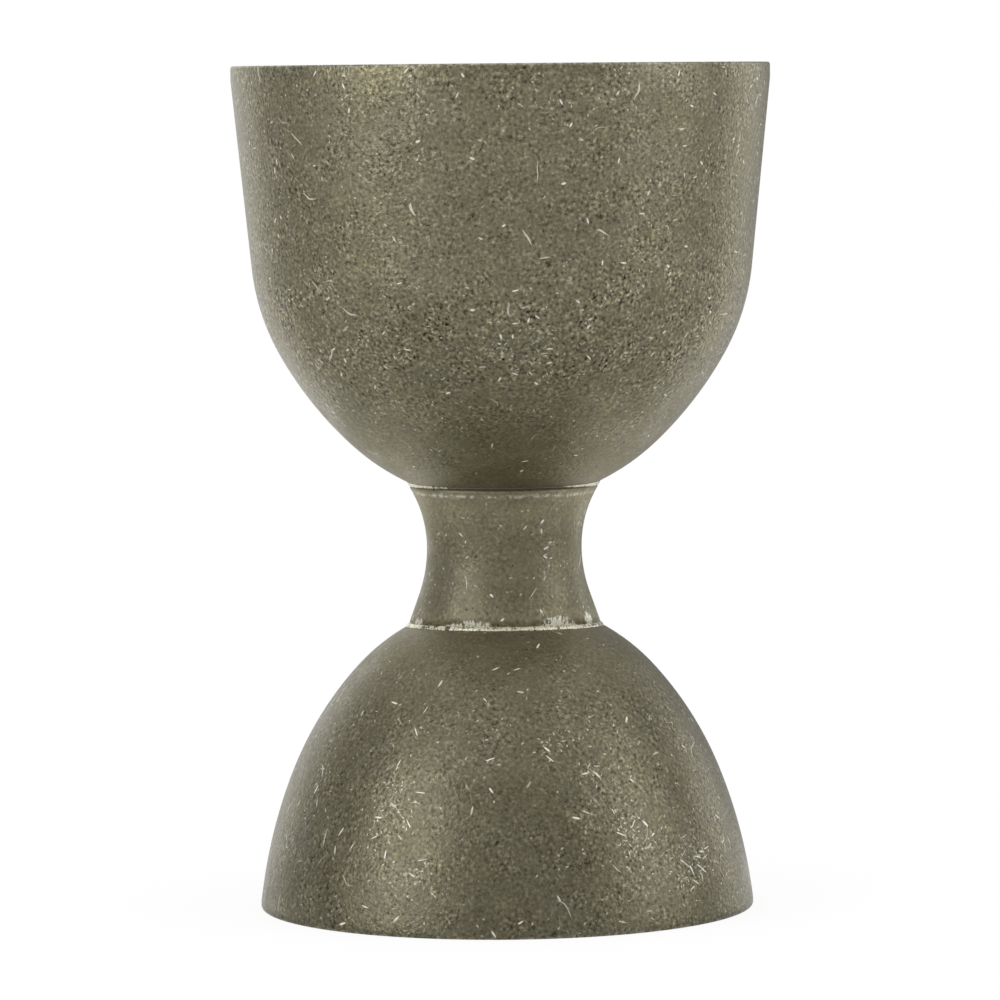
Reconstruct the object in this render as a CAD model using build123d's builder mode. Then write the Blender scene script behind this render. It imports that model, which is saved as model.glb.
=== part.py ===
from build123d import *
from math import atan2, cos, degrees, radians, sin, sqrt
import os

# A bell measure: a deep cup with its mouth up and a shallow cup with its mouth down, joined nose to nose
# by a waisted tube. Every piece is turned about +Z. The origin is the centre of the foot, which is the
# mouth of the lower cup.
# From its mouth a cup has an upright land, a straight leaning wall, a shoulder arc and a belly arc, and
# its nose is a ball centred on the axis. The tube bends outwards from its waist to both ends, and each
# end is cut to the round of the nose that it stands on. Solder fills the thin gap between them, and its
# bead stands round the outside, dressed flat.
# Sizes are in millimetres and degrees. A lean and a flare are measured from the vertical.

# Both cups
cup_thickness = 1.2
mouth_edge_chamfer = 0.25

# Upper cup, the 60 ml measure
upper_mouth_diameter = 53.0
upper_land_height = 1.5
upper_wall_height = 18.4
upper_wall_lean_angle = 5.8
upper_shoulder_radius = 22.2
upper_shoulder_turn_angle = 23.4
upper_belly_radius = 36.3
upper_belly_turn_angle = 17.8

# Lower cup, the 30 ml measure
lower_mouth_diameter = 48.8
lower_land_height = 0.6
lower_wall_height = 1.0
lower_wall_lean_angle = 7.7
lower_shoulder_radius = 50.2
lower_shoulder_turn_angle = 14.1
lower_belly_radius = 34.1
lower_belly_turn_angle = 20.2

# Waisted tube, whose outside would meet the noses at the end diameters. Its upper end stands up in a low
# lip, and its lower end runs straight for the length of its flare
tube_thickness = 1.2
waist_diameter = 15.3
waist_to_upper_nose = 4.35
waist_to_lower_nose = 5.35
upper_end_diameter = 18.52
upper_lip_height = 0.5
lower_end_diameter = 19.05
lower_flare_length = 3.2

# Solder joints
solder_gap = 0.1
upper_bead_leg = 0.12
lower_bead_leg = 0.3

# How far a wall runs on past the place where it is cut
overrun = 1.0

upward = Vector(0, 1)


def cup_outline(mouth_diameter, land_height, wall_height, lean, shoulder_radius, shoulder_turn, belly_radius, belly_turn):
    """The outside of a cup in half section, from its mouth at height 0 down to its nose on the axis."""
    with BuildLine() as outline:
        land = Line((mouth_diameter / 2, 0), (mouth_diameter / 2, -land_height))
        wall = PolarLine(land @ 1, wall_height / cos(radians(lean)), angle=-90 - lean)
        shoulder = JernArc(wall @ 1, wall % 1, shoulder_radius, -shoulder_turn)
        belly = JernArc(shoulder @ 1, shoulder % 1, belly_radius, -belly_turn)
        nose_radius = (belly @ 1).X / abs((belly % 1).Y)
        JernArc(belly @ 1, belly % 1, nose_radius, lean + shoulder_turn + belly_turn - 90)
    return outline.line, nose_radius


upper_outline, upper_nose_radius = cup_outline(
    upper_mouth_diameter, upper_land_height, upper_wall_height, upper_wall_lean_angle,
    upper_shoulder_radius, upper_shoulder_turn_angle, upper_belly_radius, upper_belly_turn_angle,
)
lower_outline, lower_nose_radius = cup_outline(
    lower_mouth_diameter, lower_land_height, lower_wall_height, lower_wall_lean_angle,
    lower_shoulder_radius, lower_shoulder_turn_angle, lower_belly_radius, lower_belly_turn_angle,
)
upper_cup_depth = abs((upper_outline @ 1).Y)
lower_cup_depth = abs((lower_outline @ 1).Y)

# Heights above the foot
waist_height = lower_cup_depth + waist_to_lower_nose
upper_nose_height = waist_height + waist_to_upper_nose
overall_height = upper_nose_height + upper_cup_depth
lower_nose_centre = Vector(0, lower_cup_depth - lower_nose_radius)
upper_nose_centre = Vector(0, upper_nose_height + upper_nose_radius)


def spun_cup(outline, mouth):
    """A cup of even thickness. The mouth plane's X points outwards, and its Y away from the nose."""
    with BuildPart() as cup:
        with BuildSketch(mouth) as section:
            with BuildLine():
                add(outline)
                offset(amount=cup_thickness, side=Side.RIGHT)
            make_face()
            chamfer(section.vertices().group_by(Axis.Y)[-1], length=mouth_edge_chamfer)
        revolve(axis=Axis.Z)
    return cup


upper_mouth = Plane(origin=(0, 0, overall_height), x_dir=Axis.X.direction, z_dir=-Axis.Y.direction)
upper_cup = spun_cup(upper_outline, upper_mouth)
upper_cup.part.label = "upper_cup"

lower_mouth = Plane(origin=(0, 0, 0), x_dir=Axis.X.direction, z_dir=Axis.Y.direction)
lower_cup = spun_cup(lower_outline, lower_mouth)
lower_cup.part.label = "lower_cup"

# The tube's outer surface is drawn to the corner that it makes with each nose
waist = Vector(waist_diameter / 2, waist_height)
upper_corner_rise = sqrt(upper_nose_radius**2 - (upper_end_diameter / 2) ** 2)
lower_corner_rise = sqrt(lower_nose_radius**2 - (lower_end_diameter / 2) ** 2)
upper_corner = upper_nose_centre + Vector(upper_end_diameter / 2, -upper_corner_rise)
lower_corner = lower_nose_centre + Vector(lower_end_diameter / 2, lower_corner_rise)


def tube_bend(end, straight_length):
    """Turn and radius of the bend from the upright waist to a straight run that stops at the given end."""
    reach = abs(end.Y - waist.Y)
    turn = 2 * atan2(end.X - waist.X, reach + straight_length)
    return degrees(turn), (reach - straight_length * cos(turn)) / sin(turn)


upper_turn, upper_bend_radius = tube_bend(upper_corner - upward * upper_lip_height, 0)
lower_turn, lower_bend_radius = tube_bend(lower_corner, lower_flare_length)

with BuildSketch(Plane.XZ) as uncut_wall:
    with BuildLine():
        upper_bend = JernArc(waist, upward, upper_bend_radius, -upper_turn)
        upper_lip = PolarLine(upper_bend @ 1, upper_lip_height + overrun, direction=upward)
        lower_bend = JernArc(waist, -upward, lower_bend_radius, lower_turn)
        lower_flare = PolarLine(lower_bend @ 1, lower_flare_length + overrun, direction=lower_bend % 1)
        offset(amount=tube_thickness, side=Side.LEFT)
    make_face()

with BuildPart() as waist_tube:
    with BuildSketch(Plane.XZ) as tube_section:
        add(uncut_wall.sketch_local)
        with Locations(upper_nose_centre):
            Circle(upper_nose_radius + solder_gap, mode=Mode.SUBTRACT)
        with Locations(lower_nose_centre):
            Circle(lower_nose_radius + solder_gap, mode=Mode.SUBTRACT)
    revolve(axis=Axis.Z)
waist_tube.part.label = "waist_tube"


def solder_joint(nose_centre, nose_radius, corner, end_direction, bead_leg, round_the_nose):
    """Solder between a nose and the tube's end, with its bead in the corner that they make outside."""
    nose_normal = (corner - nose_centre).normalized()
    inside_nose = corner - nose_normal * overrun
    top_of_bead = corner - end_direction * bead_leg
    foot_of_bead = nose_centre + nose_normal.rotate(Axis.Z, round_the_nose) * nose_radius
    with BuildPart() as joint:
        with BuildSketch(Plane.XZ):
            add(uncut_wall.sketch_local)
            with Locations(nose_centre):
                Circle(nose_radius + solder_gap, mode=Mode.INTERSECT)
            with BuildLine():
                Polyline(corner, top_of_bead, foot_of_bead, inside_nose, close=True)
            make_face()
            add(tube_section.sketch_local, mode=Mode.SUBTRACT)
            with Locations(nose_centre):
                Circle(nose_radius, mode=Mode.SUBTRACT)
        revolve(axis=Axis.Z)
    return joint


upper_bead_angle = degrees(upper_bead_leg / upper_nose_radius)
upper_solder_joint = solder_joint(
    upper_nose_centre, upper_nose_radius, upper_corner, upper_lip % 1, upper_bead_leg, upper_bead_angle
)
upper_solder_joint.part.label = "upper_solder_joint"

lower_bead_angle = degrees(lower_bead_leg / lower_nose_radius)
lower_solder_joint = solder_joint(
    lower_nose_centre, lower_nose_radius, lower_corner, lower_flare % 1, lower_bead_leg, -lower_bead_angle
)
lower_solder_joint.part.label = "lower_solder_joint"

os.makedirs("parts", exist_ok=True)
export_step(upper_cup.part, "parts/upper_cup.step")
export_step(lower_cup.part, "parts/lower_cup.step")
export_step(waist_tube.part, "parts/waist_tube.step")
export_step(upper_solder_joint.part, "parts/upper_solder_joint.step")
export_step(lower_solder_joint.part, "parts/lower_solder_joint.step")

print("overall height", overall_height)
print("cup depths", upper_cup_depth, lower_cup_depth)
print("tube bends", upper_turn, upper_bend_radius, lower_turn, lower_bend_radius)
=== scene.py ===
from math import asin, atan2, cos, pi, radians, sin, sqrt, tan

import bmesh
import bpy
from mathutils import Matrix, Vector, noise


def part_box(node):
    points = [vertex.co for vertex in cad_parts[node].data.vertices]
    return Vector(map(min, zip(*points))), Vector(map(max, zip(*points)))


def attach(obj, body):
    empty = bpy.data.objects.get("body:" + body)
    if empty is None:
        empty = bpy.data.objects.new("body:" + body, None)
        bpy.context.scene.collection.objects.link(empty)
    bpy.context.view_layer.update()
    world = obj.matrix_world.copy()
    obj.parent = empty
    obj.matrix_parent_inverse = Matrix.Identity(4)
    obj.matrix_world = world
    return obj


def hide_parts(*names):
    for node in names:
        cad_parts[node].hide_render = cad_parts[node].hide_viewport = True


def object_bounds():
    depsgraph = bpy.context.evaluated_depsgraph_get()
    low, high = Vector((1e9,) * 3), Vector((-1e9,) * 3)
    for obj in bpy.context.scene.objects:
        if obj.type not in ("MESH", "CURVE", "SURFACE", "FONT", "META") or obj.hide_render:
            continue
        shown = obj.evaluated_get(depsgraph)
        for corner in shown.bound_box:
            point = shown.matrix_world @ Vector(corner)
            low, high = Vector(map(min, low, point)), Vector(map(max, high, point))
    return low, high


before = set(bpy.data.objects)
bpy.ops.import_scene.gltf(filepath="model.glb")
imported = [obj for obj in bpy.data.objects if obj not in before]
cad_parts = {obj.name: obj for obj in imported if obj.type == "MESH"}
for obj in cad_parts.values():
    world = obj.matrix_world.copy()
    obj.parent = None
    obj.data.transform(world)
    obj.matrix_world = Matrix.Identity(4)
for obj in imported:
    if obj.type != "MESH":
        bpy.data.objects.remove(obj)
cad_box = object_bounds()
mm = 0.001

# Camera
# The photograph looks from half a metre off at the height of the rim and a little down, through a long
# lens. The picture leans half a degree to the left.
camera_distance = 569.2 * mm
camera_height = 81.54 * mm
camera_shift_left = 0.384 * mm
camera_pitch = radians(4.152)
camera_lean = radians(0.5)

camera_data = bpy.data.cameras.new("photo_camera")
camera_data.sensor_width = 36.0
camera_data.lens = 207.86
camera_data.clip_start = 0.01
camera_data.clip_end = 20.0
camera = bpy.data.objects.new("photo_camera", camera_data)
camera.rotation_mode = "ZYX"
camera.location = (-camera_shift_left, -camera_distance, camera_height)
camera.rotation_euler = (pi / 2 - camera_pitch, 0, -camera_lean)
bpy.context.scene.collection.objects.link(camera)
bpy.context.scene.camera = camera
bpy.context.scene.view_settings.view_transform = "Standard"

# Studio
# The measure stands on a white table before a white wall. Two large soft boxes stand in front of it, to
# the left and the right, and the room overhead and behind the camera is dimmer.
table_half_width = 1.5
table_white = (0.97, 0.97, 0.97, 1.0)
# Away from the camera the table is painted grey before the measure and pale behind it, a painted shade and
# light that the metal sees.
table_lit_paint_behind = (0.92, 0.92, 0.90, 1.0)
table_shaded_paint_before = (0.55, 0.55, 0.53, 1.0)
table_glow_share = 0.86
table_glow = 1.02
daylight = 0.93

# How bright the metal sees the room, by the turn from the front and the height as a share of the sky
front_level = 0.37
front_from = radians(20)
front_to = radians(50)
side_level = 0.35
left_wall_level = 1.0
left_wall_from = radians(116)
left_wall_to = radians(142)
left_wall_far_level = 0.72
left_wall_far_from = radians(150)
left_wall_far_to = radians(172)
left_wall_top_from = 0.28
left_wall_top_to = 0.75
left_high_level = 0.62
left_high_from = 0.15
left_high_to = 0.38
right_wall_level = 1.34
right_wall_from = radians(112)
right_wall_to = radians(124)
right_wall_far_level = 0.28
right_wall_far_from = radians(130)
right_wall_far_to = radians(158)
right_wall_top_from = 0.1
right_wall_top_to = 0.6
room_middle = 0.15
overhead_level = 0.66
overhead_from = 0.5
overhead_to = 0.95

# How bright the metal sees the table, by the turn from the front and the distance from the axis
table_seen_share = 0.8
table_front_level = 0.60
table_side_level = 0.44
table_front_from = radians(75)
table_front_to = radians(105)
table_left_share = 0.88
table_right_share = 0.58
table_middle = 0.1
table_shade_share = 0.58
table_shade_turn_from = radians(60)
table_shade_turn_to = radians(100)
table_shade_from = 0.04
table_shade_to = 0.30
table_close_level = 0.5
table_close_from = 0.03
table_close_to = 0.06

# The two soft boxes, turned from the front to the right
soft_box_distance = 0.9
soft_box_width = 0.62
soft_box_height = 0.9
soft_box_centre_height = 0.32
left_box_angle = radians(-54)
left_box_power = 1.95
right_box_angle = radians(75)
right_box_power = 1.45


class Signal:
    """One output of a shader node. A sum written with it adds the Math nodes that work it out."""

    def __init__(self, socket):
        self.socket = socket

    def math(self, operation, *values):
        tree = self.socket.id_data
        return add_node(tree, "ShaderNodeMath", {"operation": operation}, dict(enumerate(values)))

    def __add__(self, other):
        return self.math("ADD", self, other)

    def __radd__(self, other):
        return self.math("ADD", other, self)

    def __sub__(self, other):
        return self.math("SUBTRACT", self, other)

    def __rsub__(self, other):
        return self.math("SUBTRACT", other, self)

    def __mul__(self, other):
        return self.math("MULTIPLY", self, other)

    def __rmul__(self, other):
        return self.math("MULTIPLY", other, self)

    def __abs__(self):
        return self.math("ABSOLUTE", self)

    def beside(self, name):
        """Another output of the same node."""
        return Signal(self.socket.node.outputs[name])


def add_node(tree, kind, settings, values, output=0):
    """Adds a node: first its settings, then the values or links of its sockets. Returns an output of it."""
    node = tree.nodes.new(kind)
    for name, setting in settings.items():
        setattr(node, name, setting)
    for name, value in values.items():
        if isinstance(value, Signal):
            tree.links.new(value.socket, node.inputs[name])
        else:
            node.inputs[name].default_value = value
    return Signal(node.outputs[output]) if node.outputs else None


def turn_of(x, y):
    """The turn round the upright axis, from the front towards +X, in radians."""
    return x.math("ARCTAN2", x, 0 - y)


def vector_math(operation, first, second=(0, 0, 0), output=0):
    """A Vector Math node on two vectors."""
    tree = first.socket.id_data
    return add_node(tree, "ShaderNodeVectorMath", {"operation": operation}, {0: first, 1: second}, output)


def faded(signal, low, high, bottom=0.0, top=1.0):
    """Goes smoothly from bottom to top as the signal goes from low to high."""
    return add_node(
        signal.socket.id_data, "ShaderNodeMapRange", {"interpolation_type": "SMOOTHSTEP"},
        {"Value": signal, "From Min": low, "From Max": high, "To Min": bottom, "To Max": top},
    )


def mix_colours(share, first, second):
    """A Mix node that goes from the first colour to the second one as the share goes from 0 to 1."""
    tree = share.socket.id_data
    return add_node(tree, "ShaderNodeMix", {"data_type": "RGBA"}, {0: share, 6: first, 7: second}, output=2)


def soft_box(name, angle, power):
    """A soft box that faces the middle of the measure from this angle."""
    data = bpy.data.lights.new(name, "AREA")
    data.shape = "RECTANGLE"
    data.size = soft_box_width
    data.size_y = soft_box_height
    data.energy = power
    lamp = bpy.data.objects.new(name, data)
    aside, before = soft_box_distance * sin(angle), soft_box_distance * cos(angle)
    lamp.location = (aside, -before, soft_box_centre_height)
    facing = Vector((0, 0, (cad_box[0].z + cad_box[1].z) / 2)) - lamp.location
    lamp.rotation_euler = facing.to_track_quat("-Z", "Y").to_euler()
    bpy.context.scene.collection.objects.link(lamp)


soft_box("soft_box_left", left_box_angle, left_box_power)
soft_box("soft_box_right", right_box_angle, right_box_power)


def wall_behind(turn, across, middle):
    """What the metal sees of the two white walls at this turn from the front, over the level of the sides.

    Across is how far to the right it looks. The walls meet softly, within this far from the middle.
    """
    left_wall = faded(turn, left_wall_far_from, left_wall_far_to, left_wall_level, left_wall_far_level)
    left_wall = (left_wall - side_level) * faded(turn, left_wall_from, left_wall_to)
    right_wall = faded(turn, right_wall_far_from, right_wall_far_to, right_wall_level, right_wall_far_level)
    right_wall = (right_wall - side_level) * faded(turn, right_wall_from, right_wall_to)
    to_right = faded(across, -middle, middle)
    return left_wall * (1 - to_right), right_wall * to_right


room = bpy.data.worlds.new("studio_room")
room.use_nodes = True
tree = room.node_tree
tree.nodes.clear()
direction = add_node(tree, "ShaderNodeTexCoord", {}, {}, "Generated")
across = add_node(tree, "ShaderNodeSeparateXYZ", {}, {0: direction}, "X")
away = across.beside("Y")
up = across.beside("Z")
turn_from_front = turn_of(abs(across), away)
front = faded(turn_from_front, front_from, front_to, front_level, side_level)
left_wall, right_wall = wall_behind(turn_from_front, across, room_middle)
left_wall = left_wall * faded(up, left_wall_top_from, left_wall_top_to, 1.0, 0.0)
right_wall = right_wall * faded(up, right_wall_top_from, right_wall_top_to, 1.0, 0.0)
left_high = faded(turn_from_front, left_wall_far_from, left_wall_far_to)
left_high = left_high * faded(up, left_high_from, left_high_to)
left_wall = left_wall + left_high * faded(across, -room_middle, 0.0, left_high_level, 0.0)
overhead = faded(up, overhead_from, overhead_to)
seen_in_metal = front + left_wall + right_wall
seen_in_metal = seen_in_metal * (1 - overhead) + overhead * overhead_level
by_the_camera = add_node(tree, "ShaderNodeLightPath", {}, {}, "Is Camera Ray")
in_metal = by_the_camera.beside("Is Glossy Ray")
level = by_the_camera + in_metal * seen_in_metal
level = level + (1 - by_the_camera) * (1 - in_metal) * daylight
background = add_node(tree, "ShaderNodeBackground", {}, {"Color": (1, 1, 1, 1), "Strength": level})
add_node(tree, "ShaderNodeOutputWorld", {}, {"Surface": background})
bpy.context.scene.world = room

table_mesh = bpy.data.meshes.new("table_top")
shape = bmesh.new()
bmesh.ops.create_grid(shape, x_segments=1, y_segments=1, size=table_half_width)
shape.to_mesh(table_mesh)
shape.free()
table_top = bpy.data.objects.new("table_top", table_mesh)
bpy.context.scene.collection.objects.link(table_top)
white = bpy.data.materials.new("white_table")
white.use_nodes = True
tree = white.node_tree
tree.nodes.clear()
place = add_node(tree, "ShaderNodeTexCoord", {}, {}, "Object")
right_of = add_node(tree, "ShaderNodeSeparateXYZ", {}, {0: place}, "X")
turn_on_table = turn_of(abs(right_of), right_of.beside("Y"))
by_the_camera = add_node(tree, "ShaderNodeLightPath", {}, {}, "Is Camera Ray")
in_metal = by_the_camera.beside("Is Glossy Ray")
in_front = faded(turn_on_table, table_shade_turn_from, table_shade_turn_to, 1.0, 0.0)
distance = vector_math("LENGTH", place, output="Value")
shade = faded(distance, table_shade_from, table_shade_to, 1 - table_shade_share, 0.0)
shade = 1 - in_front * shade
# Painted shade in front of the measure and painted light behind it, for all rays but the camera's.
behind = faded(turn_on_table, right_wall_from, left_wall_to)
shaded_paint = mix_colours(behind, table_shaded_paint_before, table_lit_paint_behind)
shaded_paint = mix_colours(by_the_camera, shaded_paint, table_white)
painted = add_node(tree, "ShaderNodeBsdfDiffuse", {}, {"Color": shaded_paint})
left_wall, right_wall = wall_behind(turn_on_table, right_of, table_middle)
seen = faded(turn_on_table, table_front_from, table_front_to, table_front_level, table_side_level)
seen = (seen + left_wall * table_left_share + right_wall * table_right_share) * shade
close = faded(distance, table_close_from, table_close_to, table_close_level, 0.0)
seen = seen + (1 - in_front) * close
glow_strength = by_the_camera * table_glow + in_metal * seen
glow = add_node(tree, "ShaderNodeEmission", {}, {"Color": (1, 1, 1, 1), "Strength": glow_strength})
glow_share = by_the_camera * table_glow_share + in_metal * table_seen_share
shown = add_node(tree, "ShaderNodeMixShader", {}, {0: glow_share, 1: painted, 2: glow})
add_node(tree, "ShaderNodeOutputMaterial", {}, {"Surface": shown})
table_mesh.materials.append(white)

# Upper cup
# The 60 ml measure, spun from sheet with an upright land at its mouth, a leaning wall and a round bowl,
# then plated, darkened and rubbed back to the colour of old pewter. Its rim is broken on both edges.
cup_thickness = 1.2 * mm
mouth_edge_radius = 0.25 * mm
upper_land_height = 1.5 * mm
upper_wall_height = 18.4 * mm
upper_wall_lean = radians(5.8)
upper_shoulder_radius = 22.2 * mm
upper_shoulder_turn = radians(23.4)
upper_belly_radius = 36.3 * mm
upper_belly_turn = radians(17.8)
outline_step = 0.5 * mm
straight_step = 1.5 * mm
least_steps = 5
steps_round = 256
join_distance = 0.0001 * mm

old_pewter = (0.245, 0.224, 0.150)
brown_patina = (1.0, 0.997, 0.95, 1.0)
green_patina = (0.99, 1.0, 1.01, 1.0)
skin_metallic = 0.82
# Rubbed-through metal is lighter, and it is painted near-white with little metal so that the rubs also
# carry painted glints.
bare_metal_and_glint = (0.95, 0.93, 0.80, 1.0)
bare_and_glint_metallic = 0.3
pit_colour = (0.055, 0.050, 0.038, 1.0)
pit_darkness = 0.85

# The grain of the dark skin, its grit, and its broader patches. A fade is the two levels of a random
# pattern between which it comes or goes.
grain_size = 0.34 * mm
grain_contrast = 1.05
grain_least = 0.5
grain_relief = 0.055 * mm
grit_size = 0.33 * mm
light_grit = 1.4
light_grit_fade = (0.52, 0.76)
dark_grit = 0.85
dark_grit_fade = (0.25, 0.48)
grit_relief = 0.02 * mm
gritty_patch_size = 3.2 * mm
gritty_patch_fade = (0.36, 0.66)
gritty_patch_least = 0.5
patina_patch_size = 6 * mm
patina_patch_fade = (0.38, 0.62)
tone_size = 2.6 * mm
tone_contrast = 0.5
tone_relief = 0.06 * mm
sheltered_roughness = 0.47
gritty_roughness = 0.31
sheltered_fade = (0.12, 0.5)
tone_roughness = 0.2

# The rubs through the skin, each kind by its spacing, length and width, and the pits
speck_sizes = (0.42 * mm, 0.40 * mm, 0.26 * mm)
short_dashes = (0.80 * mm, 0.75 * mm, 0.28 * mm)
hairline_sizes = (2.3 * mm, 2.6 * mm, 0.22 * mm)
hairline_bend_size = 1.8 * mm
hairline_bend_reach = 1.6 * mm
slimmest = 1.5
stoutest = 0.8
length_balance = 2.8
half_length_share = 0.8
boldest_share = 0.15
mark_taper = (0.25, 1.0)
speck_crowd = 1.2
speck_bareness = 0.6
hairline_crowd = 0.8
hairline_bareness = 0.7
spot_crowd = 0.75
calm_share = 0.85
rub_relief = 0.012 * mm
rub_smoothness = 0.05
pit_spacing = 0.62 * mm
pit_size = 0.28 * mm
pit_floor_share = 0.2
pit_rim_share = 0.6
pit_chance_to = 1.1
pit_crowd = 0.35
pit_crowd_in_rubs = 0.5
pit_relief = 0.02 * mm
edge_band_grain = 0.5 * mm
edge_band_fade = (0.40, 0.64)
stroke_width_share = 0.625
stroke_height = 0.5 * mm
stroke_contrast = 7.5
stroke_level = 1.05
stroke_fade = (0.1, 1.0)

# The rings inside a cup
ring_size = 0.3 * mm
ring_relief = 0.02 * mm
ring_band_size = 2.2 * mm
ring_band_relief = 0.05 * mm
speckle_size = 0.22 * mm
speckle_relief = 0.012 * mm
ring_share = 0.5
ring_band_share = 0.3
speckle_share = 0.2
inside_fade = (0.3, 0.7)
inside_darkest = 0.65
inside_contrast = 0.7
inside_bareness = 0.1
inside_roughness = 0.36
inside_roughness_range = 0.08


class Outline:
    """A half section drawn in the XZ plane as a chain of edges. A positive turn goes from +Z towards +X."""

    def __init__(self, shape, start, heading):
        self.shape = shape
        self.vert = start
        self.heading = heading.copy()

    def run(self, length):
        """A straight stretch, in short steps so that its shading stays even."""
        steps = max(1, round(length / straight_step))
        for _ in range(steps):
            made = bmesh.ops.extrude_vert_indiv(self.shape, verts=[self.vert])
            self.vert = made["verts"][0]
            bmesh.ops.translate(self.shape, verts=[self.vert], vec=self.heading * (length / steps))

    def corner(self, turn):
        """A sharp change of heading."""
        self.heading = Matrix.Rotation(turn, 3, "Y") @ self.heading

    def bend(self, radius, turn):
        """A round stretch that leaves in the present heading."""
        side = Matrix.Rotation(pi / 2 if turn > 0 else -pi / 2, 3, "Y") @ self.heading
        made = bmesh.ops.spin(
            self.shape, geom=[self.vert], cent=self.vert.co + side * radius, axis=(0, 1, 0), angle=turn,
            steps=max(least_steps, round(radius * abs(turn) / outline_step)), use_duplicate=False,
        )
        self.vert = made["geom_last"][0]
        self.corner(turn)


def draw_cup_side(outline, way, inset, land, wall, lean, shoulder, shoulder_turn, belly, belly_turn):
    """One side of a cup's wall, from its mouth to the middle of its nose. The inside one has an inset."""
    mitre = inset * tan(lean / 2)
    outline.run(land - mitre)
    outline.corner(way * lean)
    outline.run(wall / cos(lean) - mitre)
    outline.bend(shoulder - inset, way * shoulder_turn)
    outline.bend(belly - inset, way * belly_turn)
    turn_left = pi / 2 - lean - shoulder_turn - belly_turn
    outline.bend(outline.vert.co.x / sin(turn_left), way * turn_left)


def spun(name, shape):
    """Spins a half section about Z into a closed piece with smooth shading."""
    bmesh.ops.spin(
        shape, geom=shape.verts[:] + shape.edges[:], cent=(0, 0, 0), axis=(0, 0, 1), angle=2 * pi,
        steps=steps_round, use_merge=True, use_duplicate=False,
    )
    bmesh.ops.remove_doubles(shape, verts=shape.verts[:], dist=join_distance)
    bmesh.ops.recalc_face_normals(shape, faces=shape.faces[:])
    for face in shape.faces:
        face.smooth = True
    mesh = bpy.data.meshes.new(name)
    shape.to_mesh(mesh)
    shape.free()
    piece = bpy.data.objects.new(name, mesh)
    bpy.context.scene.collection.objects.link(piece)
    return piece


def spun_cup(name, mouth_radius, mouth_height, way, land, *sizes):
    """A cup of even thickness. Way is 1 where its nose is below its mouth, and -1 where it is above."""
    shape = bmesh.new()
    inwards = Vector((0, 0, -way))
    corner = shape.verts.new(Vector((mouth_radius, 0, mouth_height)) + inwards * mouth_edge_radius)
    outside = Outline(shape, corner, inwards)
    draw_cup_side(outside, way, 0, land - mouth_edge_radius, *sizes)
    inside = Outline(shape, corner, -inwards)
    inside.bend(mouth_edge_radius, -way * pi / 2)
    inside.run(cup_thickness - 2 * mouth_edge_radius)
    inside.bend(mouth_edge_radius, -way * pi / 2)
    draw_cup_side(inside, way, cup_thickness, land - mouth_edge_radius, *sizes)
    return spun(name, shape)


def start_finish(name):
    """A new material with an empty node tree. Returns it with its Object coordinates."""
    finish = bpy.data.materials.new(name)
    finish.use_nodes = True
    finish.node_tree.nodes.clear()
    return finish, add_node(finish.node_tree, "ShaderNodeTexCoord", {}, {}, "Object")


def cloudy(place, size, detail=2.0, roughness=0.5):
    """Soft random light and dark, about a half, in patches of about this size."""
    return add_node(
        place.socket.id_data, "ShaderNodeTexNoise", {},
        {"Vector": place, "Scale": 1 / size, "Detail": detail, "Roughness": roughness},
    )


def cells(place, spacing, seed):
    """Random points about this far apart.

    Gives the way from the nearest point, its three random numbers as a colour, and its chance from 0 to 1.
    """
    tree = place.socket.id_data
    moved = vector_math("ADD", place, (seed * mm, -seed * mm, seed * mm))
    colour = add_node(
        tree, "ShaderNodeTexVoronoi", {"voronoi_dimensions": "3D", "feature": "F1"},
        {"Vector": moved, "Scale": 1 / spacing, "Randomness": 1.0}, "Color",
    )
    away = vector_math("SUBTRACT", moved, colour.beside("Position"))
    chance = add_node(
        tree, "ShaderNodeTexWhiteNoise", {"noise_dimensions": "3D"}, {"Vector": colour}, "Value"
    )
    return away, colour, chance


def scaled(vector, factor):
    """A vector times a signal."""
    tree = vector.socket.id_data
    return add_node(tree, "ShaderNodeVectorMath", {"operation": "SCALE"}, {0: vector, "Scale": factor})


def larger(first, second):
    """The larger of two signals."""
    return first.math("MAXIMUM", first, second)


def rubs(place, facing, crowd, sizes, seed):
    """Slender marks that lie in all directions of the face and taper to both ends.

    The slimmest are the longest. The crowd signal is the share of the marks that show.
    """
    spacing, length, width = sizes
    away, colour, chance = cells(place, spacing, seed)
    lean = vector_math("SUBTRACT", colour, (0.5, 0.5, 0.5))
    depth = vector_math("DOT_PRODUCT", lean, facing, "Value")
    side = vector_math("NORMALIZE", vector_math("SUBTRACT", lean, scaled(facing, depth)))
    slimness = faded(vector_math("DOT_PRODUCT", colour, (0, 0, 1), "Value"), 0.0, 1.0, slimmest, stoutest)
    across = vector_math("DOT_PRODUCT", away, side, "Value") * slimness * (2 / width)
    along = vector_math("LENGTH", away, output="Value") * (length_balance - slimness)
    along = along * (1 / (half_length_share * length))
    mark = faded(across * across + along * along, *mark_taper, 1.0, 0.0)
    return mark * faded(chance, 1 - crowd, 1 - crowd * boldest_share)


def pits(place, crowd, spacing, size, seed):
    """Small round pits, more and deeper where the crowd signal is high."""
    away, _, chance = cells(place, spacing, seed)
    distance = vector_math("LENGTH", away, output="Value")
    depth = faded(distance, size * pit_floor_share, size * pit_rim_share, 1.0, 0.0)
    return depth * faded(chance, 1 - crowd, pit_chance_to)


def round_and_up(place):
    """The turn round the axis from the front, the distance from the axis, and the height."""
    x = add_node(place.socket.id_data, "ShaderNodeSeparateXYZ", {}, {0: place}, "X")
    radius = vector_math("LENGTH", vector_math("MULTIPLY", place, (1, 1, 0)), output="Value")
    return turn_of(x, x.beside("Y")), radius, x.beside("Z")


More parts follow.
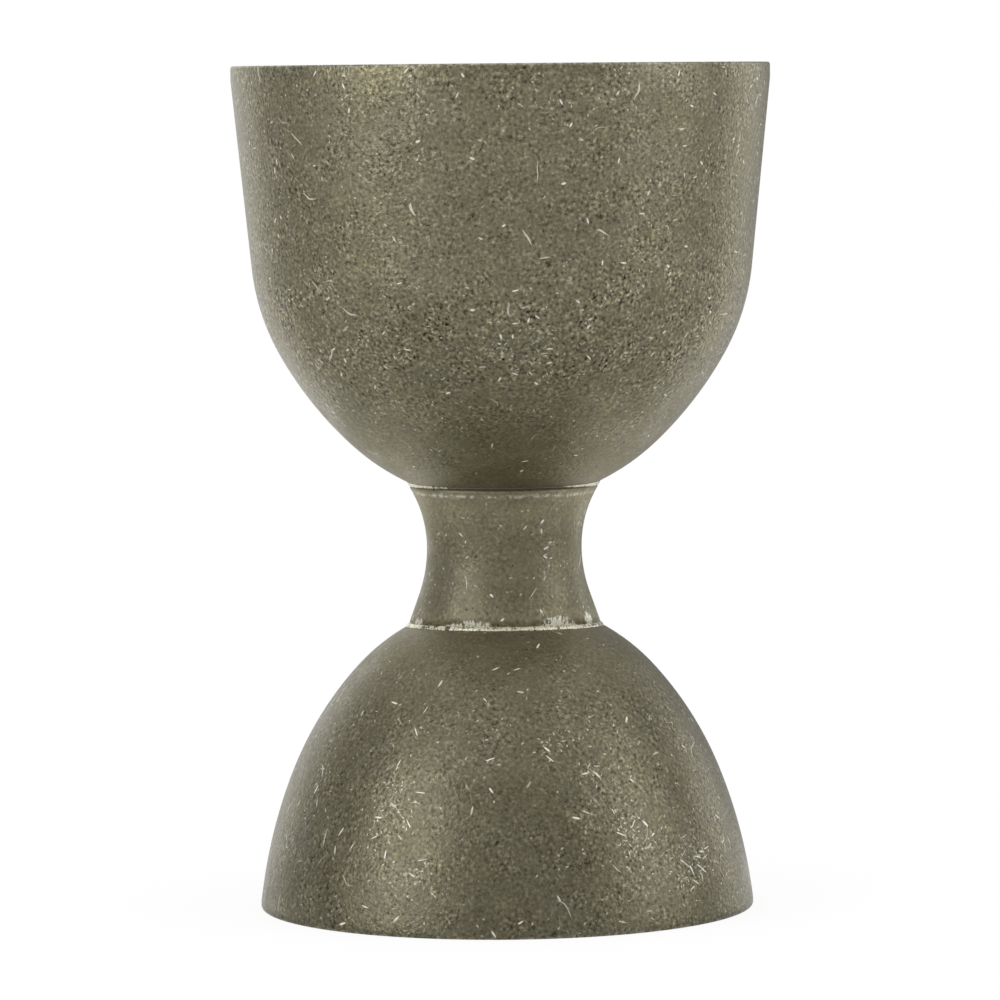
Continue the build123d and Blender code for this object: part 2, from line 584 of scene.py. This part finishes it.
def soft_spots(place, spots):
    """Soft round spots. Each is a turn from the front in degrees, then a height and half sizes in mm."""
    turn, radius, height = round_and_up(place)
    covered = 0
    for spot_turn, spot_height, half_width, half_height in spots:
        across = (turn - radians(spot_turn)) * radius * (1 / (half_width * mm))
        up = (height - spot_height * mm) * (1 / (half_height * mm))
        covered = covered + faded(across * across + up * up, 0.0, 1.0, 1.0, 0.0)
    return covered


def finish_metal(finish, colour, metallic, roughness, relief):
    """The metal shader that ends a material. Its relief is a height."""
    tree = finish.node_tree
    bump = add_node(tree, "ShaderNodeBump", {}, {"Strength": 1.0, "Distance": 1.0, "Height": relief})
    metal = add_node(
        tree, "ShaderNodeBsdfPrincipled", {},
        {"Base Color": colour, "Metallic": metallic, "Roughness": roughness, "Normal": bump},
    )
    add_node(tree, "ShaderNodeOutputMaterial", {}, {"Surface": metal})
    return finish


def all_rubs(place, moved, facing, crowd, dash_sizes, seed):
    """Specks, dashes and bent hairlines together."""
    specks = rubs(place, facing, crowd * speck_crowd, speck_sizes, seed)
    dashes = rubs(place, facing, crowd, dash_sizes, seed + 1)
    bend = cloudy(moved, hairline_bend_size, detail=0.0).beside("Color")
    bend = scaled(vector_math("SUBTRACT", bend, (0.5, 0.5, 0.5)), hairline_bend_reach)
    bent = vector_math("ADD", place, bend)
    hairlines = rubs(bent, facing, crowd * hairline_crowd, hairline_sizes, seed + 2)
    return larger(larger(dashes, specks * speck_bareness), hairlines * hairline_bareness)


def antiqued_pewter(
    name, seed, wear, painted_light_and_grit_bands=(), rubbed_and_highlit=(), worn_and_highlit_edges=(), polish_and_highlights=(), calm=(), dash_sizes=short_dashes
):
    """Old pewter: gritty grain, soft olive and brown patches, bright rubs through the dark skin, and pits.

    Wear is the share of the rubs that show all over. Each band runs between two heights in mm, from one
    share of the colour to another and from one share of the grit to another; the colour shares are
    painted light and shade by height. Rubbed spots have more rubs, and calm spots fewer. A worn edge is a
    height, a fade and how bare it is; the one under the tube's lip is a painted highlight. Polished spots
    are rubbed bare in short upright strokes; those at the sides of the tube's foot are painted highlights.
    """
    finish, place = start_finish(name)
    tree = finish.node_tree
    facing = add_node(tree, "ShaderNodeNewGeometry", {}, {}, "Normal")
    moved = vector_math("ADD", place, (seed * mm, 0, seed * mm))
    turn, radius, height = round_and_up(place)
    grain = cloudy(moved, grain_size, roughness=0.6)
    grit = cloudy(vector_math("ADD", place, (0, seed * mm, seed * mm)), grit_size, detail=1.0)
    tone = cloudy(moved, tone_size, detail=3.0, roughness=0.6)
    patches = vector_math("ADD", place, (0, seed * mm, 0))
    patches = cloudy(patches, patina_patch_size, detail=3.0, roughness=0.6)
    patches = faded(patches, *patina_patch_fade)
    gritty = cloudy(vector_math("ADD", place, (0, 0, seed * mm)), gritty_patch_size)
    gritty = faded(gritty, *gritty_patch_fade, gritty_patch_least, 1.0)
    # The colour share by height, from the bands, is painted light and shade.
    shade = 1.0
    for low, high, colour_low, colour_high, grit_low, grit_high in painted_light_and_grit_bands:
        shade = faded(height, low * mm, high * mm, colour_low, colour_high) * shade
        gritty = faded(height, low * mm, high * mm, grit_low, grit_high) * gritty

    crowd = gritty * wear
    if rubbed_and_highlit:
        crowd = crowd + soft_spots(place, rubbed_and_highlit) * spot_crowd
    if calm:
        crowd = crowd * (1 - soft_spots(place, calm) * calm_share)
    marks = all_rubs(place, moved, facing, crowd, dash_sizes, seed)
    # Bright bands at given heights: worn edges, and on the tube a painted highlight under the lip.
    for edge_height, fade, bareness in worn_and_highlit_edges:
        edge_band = faded(abs(height - edge_height), 0.0, fade, 1.0, 0.0)
        broken = cloudy(moved, edge_band_grain, detail=3.0, roughness=0.7)
        marks = larger(marks, edge_band * faded(broken, *edge_band_fade, 0.0, bareness))
    if polish_and_highlights:
        arc = turn * radius * (1 / stroke_width_share)
        strokes = add_node(tree, "ShaderNodeCombineXYZ", {}, {0: arc, 1: 0.0, 2: height})
        strokes = cloudy(strokes, stroke_height, detail=3.0, roughness=0.6)
        strokes = (strokes - 0.5) * stroke_contrast + stroke_level
        marks = larger(marks, faded(soft_spots(place, polish_and_highlights) * strokes, *stroke_fade))
    pit = pits(place, pit_crowd + crowd * pit_crowd_in_rubs, pit_spacing, pit_size, seed + 3)

    grain = (grain - 0.5) * (grain_least + gritty)
    light = grain * grain_contrast + (tone - 0.5) * tone_contrast
    specked = faded(grit, *light_grit_fade, 0.0, light_grit)
    specked = specked - faded(grit, *dark_grit_fade, dark_grit, 0.0)
    light = light + specked * gritty
    patina = vector_math("MULTIPLY", mix_colours(patches, brown_patina, green_patina), old_pewter)
    colour = scaled(patina, (1.0 + light) * shade)
    colour = mix_colours(pit * pit_darkness, colour, pit_colour)
    colour = mix_colours(marks, colour, bare_metal_and_glint)
    relief = grain * grain_relief + grit * grit_relief + marks * rub_relief - pit * pit_relief
    relief = relief + tone * tone_relief
    roughness = faded(gritty, *sheltered_fade, sheltered_roughness, gritty_roughness)
    roughness = roughness + (tone - 0.5) * tone_roughness - marks * rub_smoothness
    metallic = faded(marks, 0.0, 1.0, skin_metallic, bare_and_glint_metallic)
    return finish_metal(finish, colour, metallic, roughness, relief)


def spun_inside(name):
    """The inside of a cup: fine rings from spinning, under a thinner dark skin."""
    finish, place = start_finish(name)
    tree = finish.node_tree
    _, radius, height = round_and_up(place)
    ring_place = add_node(tree, "ShaderNodeCombineXYZ", {}, {0: radius, 1: 0.0, 2: height})
    rings = cloudy(ring_place, ring_size, detail=3.0, roughness=0.7)
    ring_bands = cloudy(ring_place, ring_band_size)
    speckle = cloudy(place, speckle_size, roughness=0.6)
    light = rings * ring_share + ring_bands * ring_band_share + speckle * speckle_share
    light = faded(light, *inside_fade)
    shade = inside_darkest + light * inside_contrast
    colour = add_node(
        tree, "ShaderNodeCombineXYZ", {}, {axis: shade * old_pewter[axis] for axis in range(3)}
    )
    relief = rings * ring_relief + ring_bands * ring_band_relief + speckle * speckle_relief
    roughness = inside_roughness + light * inside_roughness_range
    return finish_metal(finish, colour, skin_metallic + light * inside_bareness, roughness, relief)


def fit(piece, slot, node, *finishes):
    """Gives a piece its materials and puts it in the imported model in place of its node."""
    for finish in finishes:
        piece.data.materials.append(finish)
    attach(piece, "root")
    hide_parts(node)


def finish_inside(piece, mouth_height, nose_height):
    """Gives the second material to the faces inside a cup, which look towards its middle."""
    middle = Vector((0, 0, (mouth_height + nose_height) / 2))
    for face in piece.data.polygons:
        if face.normal.dot(face.center - middle) < 0:
            face.material_index = 1


upper_low, upper_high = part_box("upper_cup")
upper_cup = spun_cup(
    "upper_cup_spun", upper_high[0], upper_high[2], 1, upper_land_height, upper_wall_height,
    upper_wall_lean, upper_shoulder_radius, upper_shoulder_turn, upper_belly_radius, upper_belly_turn,
)
# Each band: from and to height in mm, colour shares, grit shares. The colour shares are painted light and
# shade: the bottom of the bowl is painted lighter, and the wall above 58 mm darker, less so towards the
# rim.
upper_painted_light_and_grit = (
    (41, 48, 1.25, 1.16, 0.3, 0.4),
    (45, 57, 1.0, 1.0, 0.85, 2.7),
    (58, 68, 1.0, 0.87, 1.0, 0.73),
    (58, 82, 1.0, 1.12, 1.0, 1.0),
)
upper_rubbed = (
    (0, 56.6, 1.6, 2.0),
    (10, 57.2, 1.8, 1.8),
    (5.5, 54.9, 1.6, 0.9),
    (18.8, 53.6, 1.6, 0.7),
    (20.6, 58.5, 0.9, 0.7),
)
upper_calm = ((-3, 70, 13, 11),)
upper_worn_edges = ((upper_high[2], 0.35 * mm, 0.42),)
upper_outside = antiqued_pewter(
    "upper_cup_pewter", seed=11, wear=0.18, painted_light_and_grit_bands=upper_painted_light_and_grit, rubbed_and_highlit=upper_rubbed,
    worn_and_highlit_edges=upper_worn_edges, calm=upper_calm,
)
fit(upper_cup, "antiqued_pewter", "upper_cup", upper_outside, spun_inside("upper_cup_inside"))
finish_inside(upper_cup, upper_high[2], upper_low[2])

# Lower cup
# The 30 ml measure, made as the upper one but shallower, and turned mouth down as the foot. Handling has
# rubbed it more, in longer strokes.
lower_land_height = 0.6 * mm
lower_wall_height = 1.0 * mm
lower_wall_lean = radians(7.7)
lower_shoulder_radius = 50.2 * mm
lower_shoulder_turn = radians(14.1)
lower_belly_radius = 34.1 * mm
lower_belly_turn = radians(20.2)

lower_low, lower_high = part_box("lower_cup")
lower_cup = spun_cup(
    "lower_cup_spun", lower_high[0], lower_low[2], -1, lower_land_height, lower_wall_height,
    lower_wall_lean, lower_shoulder_radius, lower_shoulder_turn, lower_belly_radius, lower_belly_turn,
)
# The colour shares are painted light and shade: the cup is painted darker at 19 mm and lighter towards its
# nose.
lower_painted_light_and_grit = ((19, 28, 0.88, 1.12, 0.73, 0.25),)
lower_rubbed = (
    (15, 18.0, 2.2, 2.0),
    (24, 15.3, 1.5, 1.2),
    (33, 9.5, 3.0, 3.0),
    (50, 6.0, 5.0, 3.0),
    (-30, 12.0, 3.0, 4.0),
)
lower_calm = ((-4, 8.0, 8.5, 8.0),)
lower_worn_edges = ((lower_low[2], 0.35 * mm, 0.5),)
long_dashes = (1.05 * mm, 1.25 * mm, 0.23 * mm)
lower_outside = antiqued_pewter(
    "lower_cup_pewter", seed=37, wear=0.19, painted_light_and_grit_bands=lower_painted_light_and_grit, rubbed_and_highlit=lower_rubbed,
    worn_and_highlit_edges=lower_worn_edges, calm=lower_calm, dash_sizes=long_dashes,
)
fit(lower_cup, "antiqued_pewter", "lower_cup", lower_outside, spun_inside("lower_cup_inside"))
finish_inside(lower_cup, lower_low[2], lower_high[2])

# Waist tube
# A short pewter tube drawn in to a waist, with a low lip at its upper end and a straight flare at its
# lower one. It is soldered between the noses of the two cups, and bright where the joint was dressed;
# the bright spots at the sides of its foot and the line under its lip are painted highlights.
tube_thickness = 1.2 * mm
waist_radius = 7.65 * mm
waist_to_lower_nose = 5.35 * mm
upper_end_radius = 9.26 * mm
upper_lip_height = 0.5 * mm
lip_edge_radius = 0.12 * mm
lower_end_radius = 9.525 * mm
lower_flare_length = 3.2 * mm
tube_foot_back = 0.68 * mm
solder_gap = 0.1 * mm

lower_nose_height = lower_high[2]
upper_nose_height = upper_low[2]
waist_height = lower_nose_height + waist_to_lower_nose


def nose_radius(mouth_radius, wall, lean, shoulder, shoulder_turn, belly, belly_turn):
    """The radius of the ball at a cup's nose, from the sizes of its outside."""
    first, second = lean + shoulder_turn, lean + shoulder_turn + belly_turn
    radius = mouth_radius - wall * tan(lean)
    radius -= shoulder * (cos(lean) - cos(first)) + belly * (cos(first) - cos(second))
    return radius / cos(second)


upper_nose_radius = nose_radius(
    upper_high[0], upper_wall_height, upper_wall_lean, upper_shoulder_radius, upper_shoulder_turn,
    upper_belly_radius, upper_belly_turn,
)
lower_nose_radius = nose_radius(
    lower_high[0], lower_wall_height, lower_wall_lean, lower_shoulder_radius, lower_shoulder_turn,
    lower_belly_radius, lower_belly_turn,
)
upper_nose_centre = Vector((0, 0, upper_nose_height + upper_nose_radius))
lower_nose_centre = Vector((0, 0, lower_nose_height - lower_nose_radius))


def on_nose(centre, ball_radius, radius, way):
    """The point of a nose's ball at this distance from the axis. Way is 1 on its upper half."""
    return centre + Vector((radius, 0, way * sqrt(ball_radius**2 - radius**2)))


def set_back(point, centre, ball_radius, back_share, seat_share):
    """Moves a point of the tube's foot back, and down or up with the nose under it."""
    moved = point + Vector((0, tube_foot_back * back_share, 0))
    before = sqrt(ball_radius**2 - point.x**2 - point.y**2)
    after = sqrt(ball_radius**2 - moved.x**2 - moved.y**2)
    moved.z += (after - before) * seat_share
    return moved


def flare_to(outline, end, straight, way):
    """Bends outwards from the upright waist and runs straight at last, to reach the given end."""
    out, rise = end.x - outline.vert.co.x, abs(end.z - outline.vert.co.z)
    turn = 2 * atan2(out, rise + straight)
    outline.bend((rise - straight * cos(turn)) / sin(turn), way * turn)
    if straight:
        outline.run(straight)
    return turn


lip_foot = on_nose(upper_nose_centre, upper_nose_radius, upper_end_radius, -1).z - upper_lip_height
shape = bmesh.new()
ends = []
for inset in (0, tube_thickness):
    waist = shape.verts.new((waist_radius - inset, 0, waist_height))
    upper = Outline(shape, waist, Vector((0, 0, 1)))
    cut = on_nose(upper_nose_centre, upper_nose_radius + solder_gap, upper_end_radius - inset, -1)
    if not inset:
        upper.bend(lip_edge_radius, -flare_to(upper, Vector((cut.x, 0, lip_foot)), 0, 1))
        upper.run(cut.z - upper.vert.co.z)
    else:
        flare_to(upper, cut, 0, 1)
    lower = Outline(shape, waist, Vector((0, 0, -1)))
    cut = on_nose(lower_nose_centre, lower_nose_radius + solder_gap, lower_end_radius - inset, 1)
    flare_to(lower, cut, lower_flare_length, -1)
    ends.append((upper.vert, lower.vert))
for first, second in zip(*ends):
    shape.edges.new((first, second))
waist_tube = spun("waist_tube_drawn", shape)
lower_end_height = on_nose(lower_nose_centre, lower_nose_radius + solder_gap, lower_end_radius, 1).z
for vert in waist_tube.data.vertices:
    down = max(0, (waist_height - vert.co.z) / (waist_height - lower_end_height))
    vert.co = set_back(vert.co, lower_nose_centre, lower_nose_radius, down, down**4)
# The colour shares are painted light and shade: the upper end and the foot are painted lighter, and the lip
# under the upper nose darker, a painted shade in that corner.
tube_painted_light_and_grit = (
    (36, 40.5, 1.01, 1.46, 0.34, 0.3),
    (28.2, 30.5, 1.25, 1.0, 1.0, 1.0),
    (41.45, 41.75, 1.0, 0.75, 1.0, 0.3),
)
tube_rubbed = ((-32, 37.3, 0.6, 0.5), (-31, 36.4, 0.4, 0.4), (34, 35.5, 0.8, 1.6))
# Polished strokes above the lower joint; the spots at -69 and 66 degrees, at the sides of the foot, are
# painted highlights.
tube_polish_and_highlights = (
    (-22, 28.05, 3.1, 1.25),
    (-36, 28.2, 1.2, 0.5),
    (36, 28.05, 2.9, 1.55),
    (-69, 28.3, 1.2, 0.8),
    (66, 28.6, 1.0, 1.1),
    (125, 28.5, 2.5, 0.5),
    (200, 28.5, 2.0, 0.6),
)
# The first is a painted highlight, a bright line just under the lip; the second is a bright line just above
# the foot.
tube_highlit_and_worn_edges = (
    (lip_foot - 0.35 * mm, 0.28 * mm, 0.68),
    (lower_nose_height - 2.2 * mm, 0.25 * mm, 0.65),
)
tube_outside = antiqued_pewter(
    "waist_tube_pewter", seed=53, wear=0.30, painted_light_and_grit_bands=tube_painted_light_and_grit, rubbed_and_highlit=tube_rubbed,
    worn_and_highlit_edges=tube_highlit_and_worn_edges, polish_and_highlights=tube_polish_and_highlights,
)
fit(waist_tube, "antiqued_pewter", "waist_tube", tube_outside)

# Solder joints
# Soft solder fills the gap between each end of the tube and the nose that it stands on. The narrow bead
# that it leaves outside was dressed by hand, so its width wanders, and the dark skin has worn off it. Its
# bright line is partly a painted highlight, and a dark spot at the front of the upper bead is painted
# shade.
upper_bead_leg = 0.12 * mm
lower_bead_leg = 0.3 * mm
bead_bulge_share = 0.23
bead_steps = 6
bead_wander_share = 0.22
upper_bead_side_share = 1.6
lower_bead_side_share = -0.05
broad_wander = 2.5
fine_wander = 15.0
solder_patch_size = 1.3 * mm
solder_patch_relief = 0.03 * mm
solder_grain_size = 0.2 * mm
solder_grain_relief = 0.006 * mm
solder_grain_fade = (0.35, 0.65)
solder_patch_share = 0.75
rubbed_and_highlit_bareness = 0.42
dark_bareness = 0.6
# Bare solder is lighter than the skin, and it is painted near-white with little metal so that the beads
# also carry a painted highlight.
solder_bright = (0.95, 0.92, 0.74, 1.0)
solder_dull = (0.20, 0.188, 0.142, 1.0)
solder_dull_metallic = 0.85
solder_bright_metallic = 0.60
solder_dull_roughness = 0.42
solder_bright_roughness = 0.30


def worn_solder(name, bright_from, bright_to, rubbed_and_highlit, dark, seed):
    """Bright solder with what is left of the dark skin in patches. The two levels say how much is bare.

    Rubbed spots are barer, and dark spots still have all of the skin. On the upper bead the rubbed spots
    at the sides are painted highlights, and its dark spot at the front is painted shade.
    """
    finish, place = start_finish(name)
    moved = vector_math("ADD", place, (seed * mm, 0, 0))
    patches = cloudy(moved, solder_patch_size, detail=3.0, roughness=0.65)
    grain = faded(cloudy(moved, solder_grain_size), *solder_grain_fade)
    bareness = patches * solder_patch_share + grain * (1 - solder_patch_share)
    bareness = bareness + soft_spots(place, rubbed_and_highlit) * rubbed_and_highlit_bareness
    bareness = bareness - soft_spots(place, dark) * dark_bareness
    bare = faded(bareness, bright_from, bright_to)
    colour = mix_colours(bare, solder_dull, solder_bright)
    relief = grain * solder_grain_relief + patches * solder_patch_relief
    metallic = solder_dull_metallic + bare * (solder_bright_metallic - solder_dull_metallic)
    roughness = solder_dull_roughness + bare * (solder_bright_roughness - solder_dull_roughness)
    return finish_metal(finish, colour, metallic, roughness, relief)


def solder_joint(name, centre, ball_radius, end_radius, bead_leg, side_share, way, flare_turn, seed):
    """Solder under one end of the tube, with its bead. Way is 1 where the nose is below the tube."""
    shape = bmesh.new()
    corner = on_nose(centre, ball_radius, end_radius, way)
    top = corner + Vector((-sin(flare_turn), 0, way * cos(flare_turn))) * bead_leg
    foot = centre + Matrix.Rotation(way * bead_leg / ball_radius, 3, "Y") @ (corner - centre)
    chord = (foot - top).length
    bulge = bead_leg * bead_bulge_share
    bulge_radius = (chord**2 / 4 + bulge**2) / (2 * bulge)
    inwards = (corner - (foot + top) / 2).normalized()
    bulge_centre = (foot + top) / 2 + inwards * (bulge_radius - bulge)
    bulge_turn = way * 2 * asin(chord / 2 / bulge_radius)
    bead = shape.verts.new(top)
    made = bmesh.ops.spin(
        shape, geom=[bead], cent=bulge_centre, axis=(0, 1, 0), angle=bulge_turn, steps=bead_steps,
        use_duplicate=False,
    )
    film = [made["geom_last"][0]]
    inner_radius = end_radius - tube_thickness
    for gap, radius in ((0, inner_radius), (solder_gap, inner_radius), (solder_gap, end_radius)):
        film.append(shape.verts.new(on_nose(centre, ball_radius + gap, radius, way)))
    for first, second in zip(film, film[1:] + [bead]):
        shape.edges.new((first, second))
    piece = spun(name, shape)
    for vert in piece.data.vertices:
        out = Vector((vert.co.x, vert.co.y, 0))
        if out.length < top.x - join_distance:
            continue
        out.normalize()
        seat = out * corner.x + Vector((0, 0, corner.z))
        apart = Vector((0, 0, seed))
        wander = noise.noise(out * broad_wander + apart) + noise.noise(out * fine_wander + apart)
        width_share = (1 + bead_wander_share * wander) * (1 + side_share * out.x**4)
        vert.co = seat + (vert.co - seat) * width_share
    return piece


# On the upper bead, the barer spots at each side near 70 degrees are painted highlights and those behind
# are rubs; the dark spot at the front is painted shade under the bowl.
upper_bead_highlights_and_rubs = (
    (-68, 42.0, 7.0, 1.2),
    (70, 42.0, 6.5, 1.2),
    (150, 42.0, 5.0, 1.0),
    (-150, 42.0, 4.0, 1.0),
)
upper_bead_painted_shade = ((0, 42.0, 4.0, 1.0),)
upper_joint = solder_joint(
    "upper_solder_bead", upper_nose_centre, upper_nose_radius, upper_end_radius, upper_bead_leg,
    upper_bead_side_share, way=-1, flare_turn=0, seed=3.0,
)
upper_solder = worn_solder(
    "upper_joint_solder", bright_from=0.62, bright_to=0.92, rubbed_and_highlit=upper_bead_highlights_and_rubs, dark=upper_bead_painted_shade,
    seed=7,
)
fit(upper_joint, "worn_solder", "upper_solder_joint", upper_solder)

lower_seat_height = on_nose(lower_nose_centre, lower_nose_radius, lower_end_radius, 1).z
lower_flare_rise = waist_height - lower_seat_height
lower_flare_turn = 2 * atan2(lower_end_radius - waist_radius, lower_flare_length + lower_flare_rise)
lower_bead_dark = ((-38, 28.3, 0.35, 1.0),)
lower_joint = solder_joint(
    "lower_solder_bead", lower_nose_centre, lower_nose_radius, lower_end_radius, lower_bead_leg,
    lower_bead_side_share, way=1, flare_turn=lower_flare_turn, seed=8.0,
)
for vert in lower_joint.data.vertices:
    vert.co = set_back(vert.co, lower_nose_centre, lower_nose_radius, 1, 1)
lower_solder = worn_solder(
    "lower_joint_solder", bright_from=0.30, bright_to=0.55, rubbed_and_highlit=(), dark=lower_bead_dark, seed=9
)
fit(lower_joint, "worn_solder", "lower_solder_joint", lower_solder)
